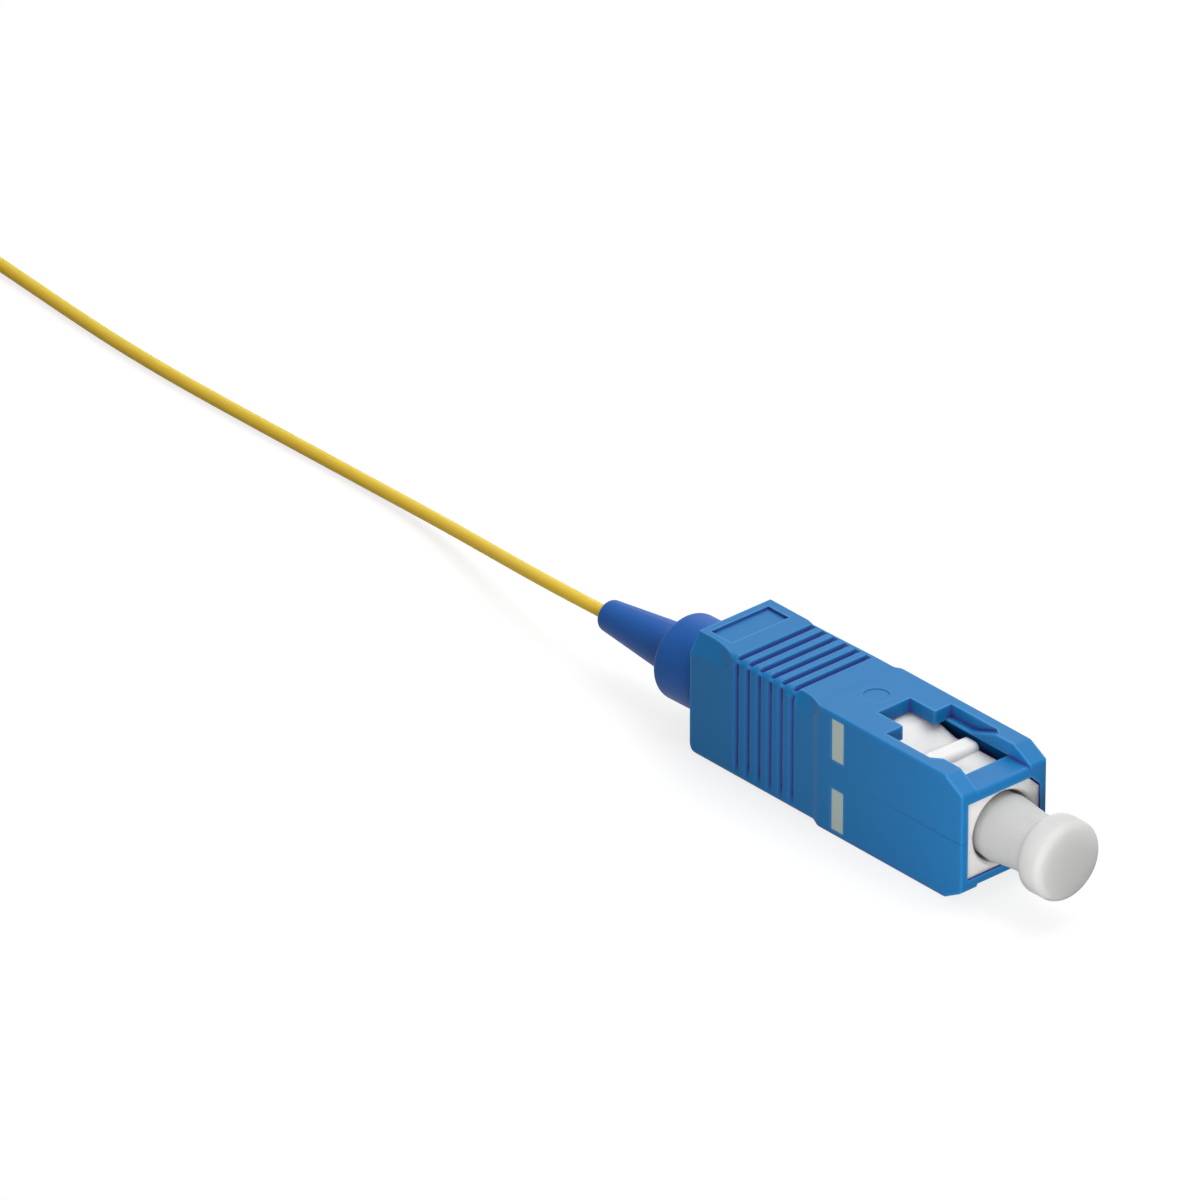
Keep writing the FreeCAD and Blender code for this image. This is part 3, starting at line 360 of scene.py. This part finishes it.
def add_painted_shading(nodes, link, colour, tone, reach, full, none, inside=False):
    """Colour that turns to the tone where a wall stands near: painted shade in recesses, or,
    looking inside, a painted highlight at edges.
    """
    opening = nodes.new("ShaderNodeAmbientOcclusion")
    opening.samples = WALL_SAMPLES
    opening.inside = inside
    opening.inputs["Distance"].default_value = reach
    spread = nodes.new("ShaderNodeMapRange")
    spread.inputs["From Min"].default_value = full
    spread.inputs["From Max"].default_value = none
    link(opening.outputs["AO"], spread.inputs["Value"])
    mix = nodes.new("ShaderNodeMix")
    mix.data_type = "RGBA"
    mix.inputs["A"].default_value = tone
    link(spread.outputs["Result"], mix.inputs["Factor"])
    link(colour, mix.inputs["B"])
    return mix.outputs["Result"]


def add_fade(nodes, link, along, reach):
    """Value that falls from 1 on the plane through the origin to 0 at this reach along an axis."""
    away = math_node(nodes, "ABSOLUTE")
    link(along, away.inputs[0])
    fade = nodes.new("ShaderNodeMapRange")
    fade.inputs["From Min"].default_value = reach
    fade.inputs["From Max"].default_value = 0.0
    link(away.outputs[0], fade.inputs["Value"])
    return fade.outputs["Result"]


def add_line(nodes, link, colour, tone):
    """Faint mould line at mid height on both sides of the housing's nose."""
    place = nodes.new("ShaderNodeTexCoord")
    axes = nodes.new("ShaderNodeSeparateXYZ")
    link(place.outputs["Object"], axes.inputs[0])
    both = math_node(nodes, "MULTIPLY")
    link(add_fade(nodes, link, axes.outputs["Z"], LINE_HALF_WIDTH), both.inputs[0])
    link(add_fade(nodes, link, axes.outputs["X"], LINE_LENGTH), both.inputs[1])
    mix = nodes.new("ShaderNodeMix")
    mix.data_type = "RGBA"
    mix.inputs["B"].default_value = tone
    link(both.outputs[0], mix.inputs["Factor"])
    link(colour, mix.inputs["A"])
    return mix.outputs["Result"]


def translucent(scale, weight=1.0):
    """Values for the shader's sockets that let light spread this far, in metres, inside."""
    return {"Subsurface Weight": weight, "Subsurface Radius": (1, 1, 1),
            "Subsurface Scale": scale}


def moulded(name, colour, gloss, sockets, tone=0.05, grain=GRAIN_SIZE, depth=0.06, recess_shade=None,
            edge_highlight=None, line=None):
    """Moulded material with the shared grain, and values for the shader's own sockets."""
    material = bpy.data.materials.new(name)
    material.use_nodes = True
    nodes, link = material.node_tree.nodes, material.node_tree.links.new
    surface = nodes["Principled BSDF"]
    for socket, value in sockets.items():
        surface.inputs[socket].default_value = value
    texture = nodes.new("ShaderNodeGroup")
    texture.node_tree = GRAIN
    texture.inputs["Colour"].default_value = colour
    texture.inputs["Tone"].default_value = tone
    texture.inputs["Gloss"].default_value = gloss
    texture.inputs["Grain Size"].default_value = grain
    tint = texture.outputs["Colour"]
    if line:
        tint = add_line(nodes, link, tint, line)
    # Painted highlight: a lighter tone along convex edges, found by looking inside the solid
    if edge_highlight:
        tint = add_painted_shading(nodes, link, tint, edge_highlight, EDGE_HIGHLIGHT_REACH, EDGE_HIGHLIGHT_FULL, EDGE_HIGHLIGHT_NONE, True)
    # Painted shade: a violet tone darkens grooves and recesses where near walls keep the light out
    if recess_shade:
        tint = add_painted_shading(nodes, link, tint, recess_shade, RECESS_SHADE_REACH, RECESS_SHADE_FULL, RECESS_SHADE_NONE)
    link(tint, surface.inputs["Base Color"])
    link(texture.outputs["Roughness"], surface.inputs["Roughness"])
    bump = nodes.new("ShaderNodeBump")
    bump.inputs["Strength"].default_value = depth
    bump.inputs["Distance"].default_value = BUMP_HEIGHT
    link(texture.outputs["Height"], bump.inputs["Height"])
    link(bump.outputs["Normal"], surface.inputs["Normal"])
    return material


def make_materials():
    """One material for each finish."""
    return {
        # Housing: violet painted shade in its grooves and recesses, and a lighter painted
        # highlight along its edges
        "blue_plastic": moulded(
            "housing_blue", srgb(20, 110, 170), 0.42, {"Specular IOR Level": 0.16},
            recess_shade=srgb(84, 48, 138), edge_highlight=srgb(52, 140, 205), line=srgb(16, 84, 140)),
        # Boot: violet painted shade where it runs into recesses
        "blue_rubber": moulded(
            "boot_blue", srgb(31, 91, 169), 0.45, {"Specular IOR Level": 0.15},
            grain=6000.0, depth=0.08, recess_shade=srgb(76, 52, 134)),
        "white_paint": moulded(
            "mark_paint", srgb(176, 190, 184), 0.6, {"Specular IOR Level": 0.2},
            tone=0.08, depth=0.15),
        "white_plastic": moulded(
            "frame_white", srgb(233, 231, 228), 0.5,
            {"Specular IOR Level": 0.2, **translucent(1 * MM)}),
        "white_ceramic": moulded(
            "ferrule_ceramic", srgb(240, 238, 232), 0.12, {}, depth=0.01),
        "plated_brass": moulded(
            "nickel_plate", srgb(205, 202, 196), 0.2, {"Metallic": 1.0}, depth=0.02),
        "clear_tube": moulded(
            "guide_tube_clear", srgb(232, 232, 226), 0.3, translucent(1 * MM, 0.4)),
        "spring_steel": moulded(
            "spring_wire", srgb(150, 150, 152), 0.3, {"Metallic": 1.0}),
        "bare_glass": moulded(
            "bare_glass", srgb(240, 246, 250), 0.03, {"Transmission Weight": 0.9}, depth=0.0),
        "yellow_buffer": moulded(
            "buffer_yellow", srgb(255, 190, 66), 0.5,
            {"Specular IOR Level": 0.1, **translucent(2 * MM)}, depth=0.03),
        "clear_cap": moulded(
            "cap_translucent", srgb(187, 187, 186), 0.65,
            {"Specular IOR Level": 0.06, **translucent(5 * MM)}, depth=0.02),
        "tie_plastic": moulded(
            "tie_white", srgb(228, 228, 224), 0.4, {}),
    }


def dress_nodes(materials):
    """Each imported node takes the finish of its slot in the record."""
    for part in frame["record"]["subparts"]:
        mesh = NODES[part["node"]].data
        mesh.materials.clear()
        mesh.materials.append(materials[part["material_slot"]])


# Studio

def seen_directly(nodes, link, otherwise, seen):
    """Value for camera, glossy and transmission rays, and another one for all other rays."""
    path = nodes.new("ShaderNodeLightPath")
    either = path.outputs["Is Camera Ray"]
    for name in ("Is Glossy Ray", "Is Transmission Ray"):
        both = math_node(nodes, "MAXIMUM")
        link(either, both.inputs[0])
        link(path.outputs[name], both.inputs[1])
        either = both.outputs[0]
    choice = nodes.new("ShaderNodeMapRange")
    choice.inputs["To Min"].default_value = otherwise
    choice.inputs["To Max"].default_value = seen
    link(either, choice.inputs["Value"])
    return choice.outputs["Result"]


def floor_material():
    """Pale floor that keeps soft shadows and reads as white where it is not shaded."""
    material = bpy.data.materials.new("floor_white")
    material.use_nodes = True
    nodes, link = material.node_tree.nodes, material.node_tree.links.new
    surface = nodes["Principled BSDF"]
    surface.inputs["Base Color"].default_value = (FLOOR_TONE, FLOOR_TONE, FLOOR_TONE, 1)
    surface.inputs["Roughness"].default_value = 0.9
    surface.inputs["Specular IOR Level"].default_value = 0.1
    surface.inputs["Emission Color"].default_value = (1, 1, 1, 1)
    strength = seen_directly(nodes, link, 0.0, FLOOR_GLOW)
    link(strength, surface.inputs["Emission Strength"])
    return material


def add_floor():
    """Large level floor under the object."""
    mesh = bpy.data.meshes.new("floor")
    build = bmesh.new()
    bmesh.ops.create_grid(build, x_segments=1, y_segments=1, size=FLOOR_HALF)
    build.to_mesh(mesh)
    build.free()
    floor = bpy.data.objects.new("floor", mesh)
    floor.location.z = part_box("outer_housing")[0].z - FLOOR_GAP
    mesh.materials.append(floor_material())
    place_object(floor)


def add_world():
    """Even pale surroundings, white where they are seen directly."""
    world = bpy.data.worlds.new("surroundings")
    bpy.context.scene.world = world
    world.use_nodes = True
    nodes, link = world.node_tree.nodes, world.node_tree.links.new
    background = nodes["Background"]
    background.inputs["Color"].default_value = (1, 1, 1, 1)
    link(seen_directly(nodes, link, SKY_LIGHT, SKY_SEEN), background.inputs["Strength"])


def add_lamp(name, place, aim, side, power):
    """Soft square lamp pointing at aim; places in metres."""
    data = bpy.data.lights.new(name, "AREA")
    data.shape = "SQUARE"
    data.size = side
    data.energy = power
    lamp = bpy.data.objects.new(name, data)
    lamp.location = place
    lamp.rotation_euler = (Vector(aim) - Vector(place)).to_track_quat("-Z", "Y").to_euler()
    place_object(lamp)


def add_lamps():
    """Main lamp overhead, one behind for the sheen on top, one at the window, one at the nose."""
    for lamp in LAMPS:
        add_lamp(*lamp)


def main():
    """Camera and cord first, then finishes and studio."""
    add_camera()
    materials = make_materials()
    add_cord(materials["yellow_buffer"])
    add_spring(materials["spring_steel"])
    dress_nodes(materials)
    add_floor()
    add_world()
    add_lamps()
    bpy.context.scene.view_settings.view_transform = "Standard"


main()
